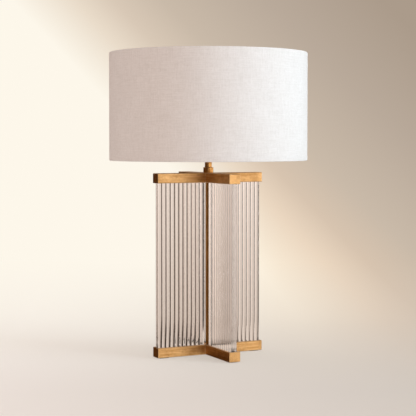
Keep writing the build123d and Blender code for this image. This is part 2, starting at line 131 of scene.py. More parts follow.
def ramp_of(tree, mask, stops):
    """A colour ramp over a mask, from (position, colour) pairs. Returns its colour."""
    ramp = node(tree, "ShaderNodeValToRGB")
    while len(ramp.color_ramp.elements) < len(stops):
        ramp.color_ramp.elements.new(0.5)
    for stop, (at, colour) in zip(ramp.color_ramp.elements, stops):
        stop.position = at
    for stop, (at, colour) in zip(ramp.color_ramp.elements, stops):
        stop.color = colour
    link(tree, (mask, ramp.inputs["Fac"]))
    return ramp.outputs["Color"]


def blend_colours(tree, how, fac, first, second):
    """Mixes two colours. fac, first and second are sockets or plain values. Returns the result."""
    mixed = node(tree, "ShaderNodeMix", data_type="RGBA", blend_type=how)
    for value, index in ((fac, 0), (first, 6), (second, 7)):
        feed(tree, value, mixed.inputs[index])
    return mixed.outputs[2]


def mottle_effect():
    """Soft blotches over fine speckle, from the place on the object."""
    group, given, result = effect(
        "mottle",
        {"Blotch Size": ("Float", 0.02), "Speckle Size": ("Float", 0.001),
         "Speckle Share": ("Float", 0.4)},
        {"Mask": "Float"},
    )
    spot = node(group, "ShaderNodeTexCoord").outputs["Object"]
    blend = node(group, "ShaderNodeMix", data_type="FLOAT")
    for size, socket in (("Blotch Size", blend.inputs[2]), ("Speckle Size", blend.inputs[3])):
        noise = node(group, "ShaderNodeTexNoise", Detail=3.0)
        link(group, (compute(group, "DIVIDE", 1, given.outputs[size]), noise.inputs["Scale"]),
             (spot, noise.inputs["Vector"]), (noise.outputs["Fac"], socket))
    link(group, (given.outputs["Speckle Share"], blend.inputs[0]),
         (blend.outputs[0], result.inputs["Mask"]))
    return group


mottle = mottle_effect()


def vary(tree, socket, mask, low, high, steps=(0.3, 0.7)):
    """Feeds a socket with a value that goes from low to high with a mask."""
    link(tree, (spread(tree, mask, *steps, to=(low, high)), socket))


def tint(tree, socket, mask, dark, light, steps=(0.3, 0.7)):
    """Feeds a colour socket with a ramp between two colours that follows a mask."""
    link(tree, (ramp_of(tree, mask, tuple(zip(steps, (dark, light)))), socket))


def raise_from(tree, shader, height, depth, strength=1.0, normal=None):
    """Turns a height into the shader's normal, over another normal where one is given."""
    bump = node(tree, "ShaderNodeBump", Strength=strength, Distance=depth)
    link(tree, (height, bump.inputs["Height"]), (bump.outputs["Normal"], shader.inputs["Normal"]))
    if normal is not None:
        link(tree, (normal, bump.inputs["Normal"]))


def mottled(name, colour, roughness, blotch, speckle, share=0.4, metallic=0.0,
            rough=None, colours=None, relief=None, **settings):
    """A material mottled in roughness, colour or relief where given, with its shader settings."""
    made, tree, shader = material(name, colour, roughness, metallic)
    for key, value in settings.items():
        shader.inputs[key.replace("_", " ")].default_value = value
    spots = place(tree, mottle, Blotch_Size=blotch, Speckle_Size=speckle, Speckle_Share=share)
    if colours:
        tint(tree, shader.inputs["Base Color"], spots.outputs["Mask"], *colours)
    if rough:
        vary(tree, shader.inputs["Roughness"], spots.outputs["Mask"], *rough)
    if relief:
        raise_from(tree, shader, spots.outputs["Mask"], *relief)
    return made


def piece(name, points, faces, finish, smooth=True):
    """A mesh object from points and faces, with its finish."""
    mesh = bpy.data.meshes.new(name)
    mesh.from_pydata(points, [], faces)
    mesh.materials.append(finish)
    for face in mesh.polygons:
        face.use_smooth = smooth
    made = bpy.data.objects.new(name, mesh)
    bpy.context.scene.collection.objects.link(made)
    return made


def soften(made, width, segments=2, angle=35):
    """Rounds every edge sharper than the angle and keeps the flats flat."""
    bevel = made.modifiers.new("round", "BEVEL")
    bevel.width = width
    bevel.segments = segments
    bevel.limit_method = "ANGLE"
    bevel.angle_limit = math.radians(angle)
    bevel.harden_normals = True


def prism(name, outline, bottom, top, finish):
    """An upright solid with the given outline."""
    count = len(outline)
    points = [(x, y, z) for z in (bottom, top) for x, y in outline]
    faces = [tuple(reversed(range(count))), tuple(range(count, 2 * count))]
    faces += [(i, (i + 1) % count, count + (i + 1) % count, count + i) for i in range(count)]
    return piece(name, points, faces, finish, smooth=False)


def rounded_rectangle(centre, width, depth, corner, steps=5):
    """Outline of a rectangle with rounded corners, anticlockwise."""
    outline = []
    for turn, (sx, sy) in enumerate(((1, 1), (-1, 1), (-1, -1), (1, -1))):
        for step in range(steps + 1):
            angle = math.radians(90 * (turn + step / steps))
            outline.append((
                centre[0] + sx * (width / 2 - corner) + corner * math.cos(angle),
                centre[1] + sy * (depth / 2 - corner) + corner * math.sin(angle),
            ))
    return outline


felt = mottled("wool_felt", felt_colour, 0.95, blotch=0.003, speckle=0.0003, share=0.6,
               colours=(felt_colour, felt_light), relief=(0.0003,), Sheen_Weight=0.4)

feet_low, feet_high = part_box("foot_pads")
foot_reach = feet_high.x - foot_length / 2
for name, centre, size in (
    ("right", (foot_reach, 0), (foot_length, foot_width)),
    ("left", (-foot_reach, 0), (foot_length, foot_width)),
    ("back", (0, foot_reach), (foot_width, foot_length)),
    ("front", (0, -foot_reach), (foot_width, foot_length)),
):
    foot = prism(f"felt_foot_{name}", rounded_rectangle(centre, *size, felt_corner),
                 feet_low.z, feet_high.z, felt)
    soften(foot, felt_edge)
    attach(foot, "lamp_base")
    if name == "right":
        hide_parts("foot_pads")

# ---------------------------------------------------------------- brass crosses
# Two crosses of solid rectangular bar, halved into each other and silver-soldered. The brass is
# aged, then brushed along each bar and waxed, so it is darker in the grain and bright at its edges.
# They are hidden from rays through the glass: the photograph shows no brass through the slabs.

bar_brass = (0.84, 0.525, 0.24, 1)
bar_patina = (0.62, 0.32, 0.10, 1)
edge_brass = (0.92, 0.70, 0.42, 1)
stain_colour = (0.62, 0.55, 0.46, 1)
white = (1, 1, 1, 1)
bar_grain_length = 0.030
bar_grain_width = 0.0007
bar_streak_scale = 0.45
# how well the rounded and the flat normal agree where wear begins, and where it is full
edge_begins, edge_is_full = 0.999, 0.93


def edge_effect():
    """Where an edge is near: light on worn corners, and a normal that rounds them."""
    group, given, result = effect(
        "edge wear", {"Radius": ("Float", 0.001)}, {"Mask": "Float", "Normal": "Vector"}
    )
    rounded = node(group, "ShaderNodeBevel", samples=6)
    flat = node(group, "ShaderNodeNewGeometry")
    agree = node(group, "ShaderNodeVectorMath", operation="DOT_PRODUCT")
    link(group, (given.outputs["Radius"], rounded.inputs["Radius"]),
         (rounded.outputs["Normal"], agree.inputs[0]), (flat.outputs["Normal"], agree.inputs[1]),
         (spread(group, agree.outputs["Value"], edge_begins, edge_is_full), result.inputs["Mask"]),
         (rounded.outputs["Normal"], result.inputs["Normal"]))
    return group


def grain_effect(name, length, width, streak_scale, ways_of):
    """Fine lines and wider streaks. ways_of gives the place and the size to use for each way."""
    group, given, result = effect(
        name, {"Length": ("Float", length), "Width": ("Float", width)},
        {"Height": "Float", "Streaks": "Float"},
    )
    split = node(group, "ShaderNodeSeparateXYZ")
    link(group, (node(group, "ShaderNodeTexCoord").outputs["Object"], split.inputs[0]))
    joined = node(group, "ShaderNodeCombineXYZ")
    for (value, size), socket in zip(ways_of(group, split.outputs), joined.inputs):
        link(group, (compute(group, "DIVIDE", value, given.outputs[size]), socket))
    for output, scale, detail in (("Height", 1.0, 2.0), ("Streaks", streak_scale, 3.0)):
        noise = node(group, "ShaderNodeTexNoise", Scale=scale, Detail=detail)
        link(group, (joined.outputs[0], noise.inputs["Vector"]),
             (noise.outputs["Fac"], result.inputs[output]))
    return group


def ways_on_a_cross(group, spot):
    """Out along whichever arm a point of the cross is on, across that arm, and up."""
    sides = [compute(group, "ABSOLUTE", spot[axis]) for axis in "XY"]
    return ((compute(group, "MAXIMUM", *sides), "Length"),
            (compute(group, "MINIMUM", *sides), "Width"), (spot["Z"], "Width"))


edge_wear = edge_effect()
bar_grain = grain_effect("bar grain", bar_grain_length, bar_grain_width, bar_streak_scale,
                         ways_on_a_cross)


def dress(name, finish):
    """Gives a carried-over solid its finish and smooth shading inside each of its faces."""
    mesh = nodes[name].data
    mesh.materials.clear()
    mesh.materials.append(finish)
    for face in mesh.polygons:
        face.use_smooth = True


aged_brass, tree, shader = material("aged_brass", bar_brass, 0.36, metallic=1.0)
grain = place(tree, bar_grain, Length=bar_grain_length, Width=bar_grain_width)
patina = place(tree, mottle, Blotch_Size=0.035, Speckle_Size=0.004, Speckle_Share=0.35)
worn = place(tree, edge_wear, Radius=0.0012)
streaks = ramp_of(tree, grain.outputs["Streaks"], ((0.34, bar_patina), (0.60, bar_brass)))
blotches = ramp_of(tree, patina.outputs["Mask"], ((0.38, stain_colour), (0.58, white)))
body = blend_colours(tree, "MULTIPLY", 0.8, streaks, blotches)
body = blend_colours(tree, "MIX", worn.outputs["Mask"], body, edge_brass)
link(tree, (body, shader.inputs["Base Color"]))
vary(tree, shader.inputs["Roughness"], grain.outputs["Streaks"], low=0.46, high=0.32)
raise_from(tree, shader, grain.outputs["Height"], depth=0.00004, strength=0.5,
           normal=worn.outputs["Normal"])

for name in ("base_cross", "top_cross"):
    dress(name, aged_brass)
    nodes[name].visible_transmission = False

# ---------------------------------------------------------------- reeded glass slabs
# Four thick slabs of clear pressed glass, reeded on both faces and fire-polished, thinner and plain
# beside the post. Each stands in a pocket of the lower cross and is held by the upper one.

reed_count = 10
reed_rise = 0.0017
glass_margin = 0.00965         # width of the plain strip beside the post
glass_web = 0.012              # thickness of that strip
reed_steps = 24
reed_end_tolerance = 0.001     # as a share of a reed
same_place = 1e-6
glass_end_bevel = 0.0003
glass_tint = (0.955, 0.925, 0.91, 1)

clear_glass = mottled("reeded_glass", glass_tint, 0.0, blotch=0.03, speckle=0.006, share=0.3,
                      rough=(0.0, 0.02, (0.45, 0.75)), relief=(0.0006, 0.05),
                      Transmission_Weight=1.0, IOR=1.5)


def reeded_slab(name, low, high, finish):
    """A slab between two corners, reeded on both wide faces, with a plain strip beside the post."""
    wide = 0 if high.x - low.x > high.y - low.y else 1
    inner, outer = sorted((low[wide], high[wide]), key=abs)
    way = 1 if outer > 0 else -1
    middle = (low[1 - wide] + high[1 - wide]) / 2
    half = (high[1 - wide] - low[1 - wide]) / 2
    pitch = (abs(outer - inner) - glass_margin) / reed_count
    radius = (pitch ** 2 / 4 + reed_rise ** 2) / (2 * reed_rise)
    margin_end = inner + way * glass_margin
    face_points = [(inner, glass_web / 2), (margin_end, glass_web / 2)]
    for step in range(reed_count * reed_steps + 1):
        across = (step % reed_steps) * pitch / reed_steps - pitch / 2
        crest = half - radius + math.sqrt(radius ** 2 - across ** 2)
        face_points.append((inner + way * (glass_margin + step * pitch / reed_steps), crest))
    outline = [(a, middle - d) for a, d in face_points]
    outline += [(a, middle + d) for a, d in reversed(face_points)]
    if way < 0:
        outline.reverse()
    if wide == 1:
        outline = [(b, a) for a, b in reversed(outline)]
    slab = prism(name, outline, low.z, high.z, finish)
    mesh = slab.data
    for face in mesh.polygons:
        face.use_smooth = abs(face.normal.z) < 0.5
    weights = mesh.attributes.new("bevel_weight_edge", "FLOAT", "EDGE")
    for edge in mesh.edges:
        one, two = (mesh.vertices[i].co for i in edge.vertices)
        if abs(one.z - two.z) < same_place:
            weights.data[edge.index].value = 1
            continue
        from_inner = abs(one[wide] - inner)
        reed = (from_inner - glass_margin) / pitch
        between_reeds = abs(reed - round(reed)) < reed_end_tolerance
        edge.use_edge_sharp = reed > -reed_end_tolerance and between_reeds
        if min(from_inner, abs(one[wide] - outer)) < same_place:
            weights.data[edge.index].value = 1
    return slab


for side in ("left", "front", "right", "back"):
    low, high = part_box(f"glass_panel_{side}")
    slab = reeded_slab(f"glass_slab_{side}", low, high, clear_glass)
    soften(slab, glass_end_bevel)
    slab.modifiers["round"].limit_method = "WEIGHT"
    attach(slab, "lamp_base")
    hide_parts(f"glass_panel_{side}")

# ---------------------------------------------------------------- vinyl pads
# Thin clear vinyl under and over each slab, so that the glass never touches the brass.

vinyl = mottled("clear_vinyl", (0.93, 0.93, 0.91, 1), 0.25, blotch=0.01, speckle=0.001,
                rough=(0.15, 0.4), Transmission_Weight=0.85, IOR=1.45)
for name in ("glass_pads_lower", "glass_pads_upper"):
    dress(name, vinyl)

# ---------------------------------------------------------------- lamp rod, washer and nut
# A hollow threaded steel rod carries the wires from the base to the socket. A hex nut on a washer,
# both zinc plated, sits in the recess under the base and clamps the whole column.

zinc_colour = (0.58, 0.58, 0.55, 1)
zinc_dull = (0.42, 0.42, 0.39, 1)

zinc = mottled("zinc_steel", zinc_colour, 0.35, blotch=0.004, speckle=0.0005, metallic=1.0,
               rough=(0.5, 0.28), colours=(zinc_dull, zinc_colour), relief=(0.0001, 0.4))
for name in ("lamp_rod", "base_washer", "base_nut"):
    dress(name, zinc)

# ---------------------------------------------------------------- centre post
# A tube of the same aged brass over the rod, seated in both crosses. Its brushing runs upwards.

post_patina = (0.24, 0.105, 0.027, 1)
post_brass = (0.54, 0.28, 0.092, 1)
upright_grain_length = 0.04
upright_grain_width = 0.0005
upright_streak_scale = 0.25


def ways_upright(group, spot):
    """Across a round piece both ways, and up along its grain."""
    return (spot["X"], "Width"), (spot["Y"], "Width"), (spot["Z"], "Length")


upright_grain = grain_effect("upright grain", upright_grain_length, upright_grain_width,
                             upright_streak_scale, ways_upright)


def round_brass(name, patina_colour, brass_colour, rough_low, rough_high, grain_length):
    """Brass for tubes and turned pieces, with its grain along the upright axis."""
    made, tree, shader = material(name, brass_colour, rough_high, metallic=1.0)
    grain = place(tree, upright_grain, Length=grain_length, Width=upright_grain_width)
    stains = place(tree, mottle, Blotch_Size=0.015, Speckle_Size=0.002, Speckle_Share=0.3)
    worn = place(tree, edge_wear, Radius=0.0008)
    body = blend_colours(tree, "MIX", 0.5, grain.outputs["Streaks"], stains.outputs["Mask"])
    body = ramp_of(tree, body, ((0.3, patina_colour), (0.62, brass_colour)))
    body = blend_colours(tree, "MIX", worn.outputs["Mask"], body, edge_brass)
    link(tree, (body, shader.inputs["Base Color"]))
    vary(tree, shader.inputs["Roughness"], stains.outputs["Mask"], rough_high, rough_low)
    raise_from(tree, shader, grain.outputs["Height"], depth=0.00003, strength=0.4,
               normal=worn.outputs["Normal"])
    return made


post_finish = round_brass("aged_brass_tube", post_patina, post_brass,
                          rough_low=0.30, rough_high=0.42, grain_length=0.05)
dress("centre_post", post_finish)

# ---------------------------------------------------------------- cord bushing
# A black nylon snap bushing lines the hole at the end of the rear arm, where the cord enters.

nylon = mottled("black_nylon", (0.012, 0.012, 0.013, 1), 0.5, blotch=0.004, speckle=0.0004,
                rough=(0.42, 0.6), relief=(0.00005, 0.4))
dress("cord_bushing", nylon)

# ---------------------------------------------------------------- neck
# A turned collar stands on the upper cross and a narrower tube on the collar. Both slip over the
# rod and carry the harp's saddle up into the shade.

neck_patina = (0.36, 0.155, 0.04, 1)
neck_brass = (0.72, 0.38, 0.125, 1)

neck_finish = round_brass("aged_brass_turned", neck_patina, neck_brass,
                          rough_low=0.22, rough_high=0.36, grain_length=0.004)
for name in ("neck_collar", "neck_tube"):
    dress(name, neck_finish)

# ---------------------------------------------------------------- harp
# A saddle of bent brass strip is clamped under the socket. The harp, a loop of brass-plated wire
# with flattened ends, clips over its tongues, held by two sleeves that slide up to release it.

plating_dull = (0.50, 0.34, 0.14, 1)
plating_bright = (0.78, 0.58, 0.30, 1)

plated_brass = round_brass("plated_brass", plating_dull, plating_bright,
                           rough_low=0.16, rough_high=0.28, grain_length=0.01)
for name in ("harp_saddle", "harp", "harp_sleeve_left", "harp_sleeve_right", "harp_seat"):
    dress(name, plated_brass)

# ---------------------------------------------------------------- socket
# A lacquered brass shell and its turned cap hold a black phenolic block, which carries the threaded
# screw shell and a springy centre contact.

lacquer_dull = (0.58, 0.41, 0.17, 1)
lacquer_bright = (0.80, 0.62, 0.33, 1)
phenolic_dark = (0.010, 0.008, 0.006, 1)
phenolic_light = (0.026, 0.018, 0.013, 1)

lacquered = round_brass("lacquered_brass", lacquer_dull, lacquer_bright,
                        rough_low=0.14, rough_high=0.24, grain_length=0.02)
for name in ("socket_cap", "socket_shell", "screw_shell", "centre_contact", "switch_nipple"):
    dress(name, lacquered)

phenolic = mottled("black_phenolic", (0.014, 0.011, 0.009, 1), 0.35, blotch=0.006, speckle=0.0006,
                   rough=(0.25, 0.45), colours=(phenolic_dark, phenolic_light))
dress("socket_insulator", phenolic)

# ---------------------------------------------------------------- switch
# A turn key on the front of the socket: a steel shaft through a brass nipple, and a moulded key.

dress("switch_knob", phenolic)
turned_steel = mottled("turned_steel", (0.52, 0.52, 0.52, 1), 0.3, blotch=0.003, speckle=0.0003,
                       metallic=1.0, rough=(0.22, 0.4))
dress("switch_shaft", turned_steel)

# ---------------------------------------------------------------- bulb
# A tubular bulb of inside-frosted glass, cemented into a rolled aluminium cap with a black glass
# insulator and a soldered tip.

bulb_wall = 0.0009
bulb_inset = 0.0001            # keeps the envelope just inside the solid that it stands for
cap_wall = 0.0005              # the neck is that much slimmer than the cap it is cemented into
neck_foot = 0.0002             # above the lower end of the solid
neck_rise, neck_round = 0.0006, 0.003              # rises are from the top of the cap
shoulder_rise, shoulder_round = 0.012, 0.012
crown_bevel, crown_round = 0.005, 0.004
crown_rise = 0.02              # above it, the inner side is lowered by the wall as well
corner_steps = 8

frosted = mottled("frosted_glass", (0.92, 0.91, 0.89, 1), 0.35, blotch=0.02, speckle=0.0006,
                  share=0.5, rough=(0.4, 0.55), relief=(0.00004, 0.3),
                  Transmission_Weight=0.25, Coat_Weight=0.5, Coat_Roughness=0.05)


def lathe(name, profile, finish, steps=96):
    """A solid turned round the upright axis. profile is a list of (radius, height) from below."""
    points, rows = [], []
    for radius, height in profile:
        if radius < same_place:
            rows.append([len(points)] * steps)
            points.append((0, 0, height))
            continue
        rows.append([len(points) + i for i in range(steps)])
        for i in range(steps):
            angle = 2 * math.pi * i / steps
            points.append((radius * math.cos(angle), radius * math.sin(angle), height))
    faces = []
    for lower, upper in zip(rows, rows[1:]):
        for i in range(steps):
            j = (i + 1) % steps
            corners = []
            for corner in (lower[i], lower[j], upper[j], upper[i]):
                if corner not in corners:
                    corners.append(corner)
            if len(corners) > 2:
                faces.append(tuple(corners))
    return piece(name, points, faces, finish)


def rounded_path(corners, steps):
    """Points of an open path whose corners, given as (radius, height, rounding), are rounded."""
    path = []
    for index, (x, z, rounding) in enumerate(corners):
        if rounding == 0 or index in (0, len(corners) - 1):
            path.append((x, z))
            continue
        here = Vector((x, z))
        back = (Vector(corners[index - 1][:2]) - here).normalized()
        on = (Vector(corners[index + 1][:2]) - here).normalized()
        half = back.angle(on) / 2
        run = rounding / math.tan(half)
        start, end = here + back * run, here + on * run
        for step in range(steps + 1):
            t = step / steps
            path.append(tuple(start * (1 - t) ** 2 + here * 2 * t * (1 - t) + end * t ** 2))
    return path


low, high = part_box("bulb_glass")
cap_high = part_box("bulb_cap")[1]
neck = cap_high.x - cap_wall
tube = high.x - bulb_inset
crown = high.z - bulb_inset
outer = rounded_path([
    (neck, low.z + neck_foot, 0),
    (neck, cap_high.z + neck_rise, neck_round),
    (tube, cap_high.z + shoulder_rise, shoulder_round),
    (tube, high.z - crown_bevel, crown_round),
    (tube - crown_bevel, crown, crown_round),
    (0, crown, 0),
], corner_steps)
inner = []
for radius, height in reversed(outer):
    in_the_crown = radius < tube - crown_round and height > cap_high.z + crown_rise
    inner.append((max(radius - bulb_wall, 0), height - (bulb_wall if in_the_crown else 0)))
bulb = lathe("bulb_envelope", outer + inner, frosted)
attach(bulb, "bulb")
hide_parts("bulb_glass")

aluminium = mottled("rolled_aluminium", (0.78, 0.78, 0.79, 1), 0.3, blotch=0.005, speckle=0.0005,
                    metallic=1.0, rough=(0.22, 0.38))
vitrite = mottled("black_vitrite", (0.010, 0.010, 0.011, 1), 0.15, blotch=0.004, speckle=0.0005,
                  rough=(0.1, 0.25))
solder = mottled("solder_tip", (0.55, 0.53, 0.49, 1), 0.4, blotch=0.002, speckle=0.0004,
                 metallic=1.0, rough=(0.3, 0.55))
dress("bulb_cap", aluminium)
dress("bulb_insulator", vitrite)
dress("bulb_contact", solder)

# ---------------------------------------------------------------- shade frame and liner
# A spider of plated wire with a hub carries the shade on the harp. Its arms are welded to the upper
# hoop. The linen is laminated to a sheet of white styrene that keeps the drum round.

styrene_shadow = (0.76, 0.735, 0.69, 1)
styrene_light = (0.83, 0.815, 0.78, 1)

dress("shade_spider", plated_brass)
styrene = mottled("white_styrene", (0.80, 0.78, 0.74, 1), 0.5, blotch=0.05, speckle=0.002,
                  share=0.2, rough=(0.42, 0.56), colours=(styrene_shadow, styrene_light))
dress("shade_liner", styrene)
coated = mottled("coated_strip", (0.72, 0.70, 0.66, 1), 0.45, blotch=0.01, speckle=0.001,
                 rough=(0.35, 0.55))
for name in ("shade_ring_upper", "shade_ring_lower"):
    dress(name, coated)

# ---------------------------------------------------------------- linen shade
# Off-white plain-weave linen, laminated round the liner with a lapped seam at the back. Top and
# bottom are rolled over the hoops and glued down inside, slit where the spider's arms pass.

linen_thickness = 0.0006
hem_depth = 0.010
seam_lap = 0.014
slit_width = 0.0036
slit_rows = 3                  # rows of the upper fold that a slit cuts through
hoop_strip = 0.0012
fold_gap = 0.0002
lap_slope = 0.0015             # radians in which the lap rises
lap_lift = 0.8                 # rise of the lap, as a share of the cloth's thickness
lap_reach = 0.6                # how far it follows the roll at the rims, as a share of the roll
drum_columns, drum_rows, fold_steps = 240, 12, 8
linen_pitch = 0.00078
thread_wander = 60.0           # scale of the noise that bends the threads
slub_scales = ((120, 900), (28, 330))              # along and across the yarn
slub_height = 1.6              # height of a slub beside a thread's
linen_light = (0.88, 0.86, 0.85, 1)
linen_shadow = (0.76, 0.735, 0.715, 1)
linen_cloud = (0.95, 0.945, 0.94, 1)

linen_low, linen_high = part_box("shade_linen")
hoop_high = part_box("shade_ring_upper")[1]
linen_radius = linen_high.x
leg_radius = hoop_high.x - hoop_strip - fold_gap - linen_thickness
rim = linen_radius - leg_radius
roll = rim / 2
spider_angles = [math.radians(90 + 120 * i) for i in range(3)]
lap_angle = seam_lap / linen_radius
seam_angle = math.radians(90) + lap_angle
slit_angle = slit_width / 2 / leg_radius


def linen_profile():
    """(radius, height) down the inside of the upper fold, the drum, and up inside the lower fold."""
    half_turn = [math.pi * step / fold_steps for step in range(fold_steps + 1)]
    middle = leg_radius + roll
    top, bottom = linen_high.z - roll, linen_low.z + roll
    upper = [(leg_radius, linen_high.z - hem_depth), (leg_radius, linen_high.z - hem_depth / 2)]
    upper += [(middle - roll * math.cos(a), top + roll * math.sin(a)) for a in half_turn]
    drum = [(linen_radius, top + (bottom - top) * step / drum_rows) for step in range(1, drum_rows)]
    lower = [(middle + roll * math.cos(a), bottom - roll * math.sin(a)) for a in half_turn]
    lower += [(leg_radius, linen_low.z + hem_depth / 2), (leg_radius, linen_low.z + hem_depth)]
    return upper + drum + lower


def linen_angles():
    """Angles round the drum, with a fine step at the seam and at each slit."""
    angles = [2 * math.pi * step / drum_columns for step in range(drum_columns)]
    start, end = seam_angle - lap_angle / 2, seam_angle + lap_angle / 2
    angles += [start, start + lap_slope, end, end - lap_slope]
    for arm in spider_angles:
        angles += [arm - slit_angle, arm + slit_angle]
    return sorted(a % (2 * math.pi) for a in angles)


def yarn_effect():
    """Plain weave on a cloth's own coordinates, in metres: the height of the threads, and slubs."""
    group, given, result = effect(
        "plain weave",
        {"Cloth": "Vector", "Pitch": ("Float", linen_pitch)},
        {"Height": "Float", "Slubs": "Float"},
    )
    split = node(group, "ShaderNodeSeparateXYZ")
    bend = node(group, "ShaderNodeTexNoise", Scale=thread_wander, Detail=1.0)
    link(group, (given.outputs["Cloth"], split.inputs[0]),
         (given.outputs["Cloth"], bend.inputs["Vector"]))
    wander = compute(group, "MULTIPLY", bend.outputs["Fac"], given.outputs["Pitch"])
    waves, slubs = [], []
    for axis in "XY":
        moved = compute(group, "ADD", split.outputs[axis], wander)
        threads = compute(group, "DIVIDE", moved, given.outputs["Pitch"])
        waves.append(compute(group, "SINE", compute(group, "MULTIPLY", threads, math.pi)))
        for along, beside in slub_scales:
            scales = (along, beside, 1) if axis == "X" else (beside, along, 1)
            stretched = node(group, "ShaderNodeMapping", Scale=scales)
            slub = node(group, "ShaderNodeTexNoise", Scale=1.0, Detail=3.0, Roughness=0.6)
            link(group, (given.outputs["Cloth"], stretched.inputs["Vector"]),
                 (stretched.outputs[0], slub.inputs["Vector"]))
            slubs.append(slub.outputs["Fac"])
    over = compute(group, "ABSOLUTE", compute(group, "MULTIPLY", *waves))
    total = slubs[0]
    for slub in slubs[1:]:
        total = compute(group, "ADD", total, slub)
    mean = compute(group, "MULTIPLY", total, 1 / len(slubs))
    link(group, (mean, result.inputs["Slubs"]),
         (compute(group, "MULTIPLY_ADD", mean, slub_height, over), result.inputs["Height"]))
    return group


def linen_material():
    """Off-white linen: pale yarn with darker, uneven slubs, and a faint cloudiness of the cloth."""
    made, tree, shader = material("plain_weave_linen", linen_light, 0.9)
    shader.inputs["Sheen Weight"].default_value = 0.15
    cloth = node(tree, "ShaderNodeUVMap", uv_map="cloth")
    weave = place(tree, yarn_effect(), Pitch=linen_pitch)
    link(tree, (cloth.outputs["UV"], weave.inputs["Cloth"]))
    uneven = place(tree, mottle, Blotch_Size=0.05, Speckle_Size=0.006, Speckle_Share=0.5)
    yarn = ramp_of(tree, weave.outputs["Slubs"], ((0.38, linen_shadow), (0.58, linen_light)))
    cloud = ramp_of(tree, uneven.outputs["Mask"], ((0.3, linen_cloud), (0.7, white)))
    link(tree, (blend_colours(tree, "MULTIPLY", 1.0, yarn, cloud), shader.inputs["Base Color"]))
    vary(tree, shader.inputs["Roughness"], weave.outputs["Slubs"], low=0.84, high=0.96,
         steps=(0.4, 0.6))
    raise_from(tree, shader, weave.outputs["Height"], depth=0.00012, strength=0.6)
    return made


def linen_drum(finish):
    """The cloth as one sheet round the drum, over both rims and down inside them."""
    profile, angles = linen_profile(), linen_angles()
    runs = [0.0]
    for (r0, z0), (r1, z1) in zip(profile, profile[1:]):
        runs.append(runs[-1] + math.hypot(r1 - r0, z1 - z0))
    mesh = bmesh.new()
    cloth = mesh.loops.layers.uv.new("cloth")
    columns = []
    for angle in angles:
        on_lap = abs(angle - seam_angle) < lap_angle / 2 - lap_slope / 2
        lifted = linen_thickness * lap_lift if on_lap else 0.0
        column = []
        for radius, height in profile:
            out = radius + (lifted if radius > linen_radius - roll * lap_reach else 0)
            column.append(mesh.verts.new((out * math.cos(angle), out * math.sin(angle), height)))
        columns.append(column)
    for index, angle in enumerate(angles):
        onward = (index + 1) % len(angles)
        turn = (angles[onward] - angle) % (2 * math.pi)
        inside_slit = any(abs((angle + turn / 2 - arm + math.pi) % (2 * math.pi) - math.pi)
                          < slit_angle for arm in spider_angles)
        for row in range(len(profile) - 1):
            if inside_slit and row < slit_rows:
                continue
            face = mesh.faces.new((columns[index][row], columns[index][row + 1],
                                   columns[onward][row + 1], columns[onward][row]))
            face.smooth = True
            for loop, (turned, run) in zip(face.loops, (
                (angle, runs[row]), (angle, runs[row + 1]),
                (angle + turn, runs[row + 1]), (angle + turn, runs[row]),
            )):
                loop[cloth].uv = (turned * linen_radius, run)
    data = bpy.data.meshes.new("linen_drum")
    mesh.to_mesh(data)
    mesh.free()
    data.materials.append(finish)
    made = bpy.data.objects.new("linen_drum", data)
    bpy.context.scene.collection.objects.link(made)
    thick = made.modifiers.new("thickness", "SOLIDIFY")
    thick.thickness = linen_thickness
    thick.offset = -1
    return made, runs[-1]


linen, cut_height = linen_drum(linen_material())
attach(linen, "shade")
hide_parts("shade_linen")

# ---------------------------------------------------------------- finial
# A turned brass knob that screws on the harp's stud and holds the shade down.

finial_patina = (0.42, 0.24, 0.08, 1)
finial_brass = (0.74, 0.50, 0.22, 1)

dress("finial", round_brass("finial_brass", finial_patina, finial_brass,
                            rough_low=0.18, rough_high=0.32, grain_length=0.006))

# ---------------------------------------------------------------- camera
# Eye level a little above the foot of the shade, 2.9 metres off, turned to the left of the front,
# as fitted to the shade's rims and the corners of both crosses.

picture_side = 416
camera_turn = 0.4566
camera_distance = 2.9054
camera_height = 0.4998
camera_pitch = 0.0352
focal_pixels = 1254.8
centre_column = 208.31
shift_up = -0.06

up = Vector((0, 0, 1))
forward = Vector((math.sin(camera_turn), math.cos(camera_turn), 0))
rightward = Vector((math.cos(camera_turn), -math.sin(camera_turn), 0))
optics = bpy.data.cameras.new("camera")
optics.lens = focal_pixels * optics.sensor_width / picture_side
optics.shift_x = (picture_side / 2 - centre_column) / picture_side
optics.shift_y = shift_up
camera = bpy.data.objects.new("camera", optics)
bpy.context.scene.collection.objects.link(camera)
camera.location = -forward * camera_distance + up * camera_height
camera.rotation_euler = (math.pi / 2 - camera_pitch, 0, -camera_turn)
bpy.context.scene.camera = camera

# ---------------------------------------------------------------- studio sweep
# A wide sheet of pale paper: floor, a large curve and a wall. Painted light slants over it from the
# lower left to a painted warm-grey shade at the upper right, and the paper's own colour carries
# painted light at the left and painted shade at the right. The wall is clear from behind, so any
# side can be seen.

# painted light on the wall, from a painted glow down to painted shade; the amber tones are for its
# right side
painted_glow = (0.985, 0.93, 0.825, 1)
painted_warm_light = (0.82, 0.715, 0.59, 1)
painted_half_light = (0.69, 0.58, 0.47, 1)
painted_dusk_light = (0.585, 0.49, 0.395, 1)
painted_dim_light = (0.485, 0.40, 0.325, 1)
painted_shade = (0.407, 0.328, 0.258, 1)
painted_amber_half = (0.68, 0.55, 0.43, 1)
painted_amber_warm = (0.83, 0.68, 0.53, 1)
painted_amber_glow = (0.985, 0.875, 0.715, 1)
# the paper's colour, painted lighter at the left and darker at the right as painted light and shade
floor_painted_light = (0.95, 0.90, 0.86, 1)
floor_painted_shade = (0.60, 0.55, 0.50, 1)
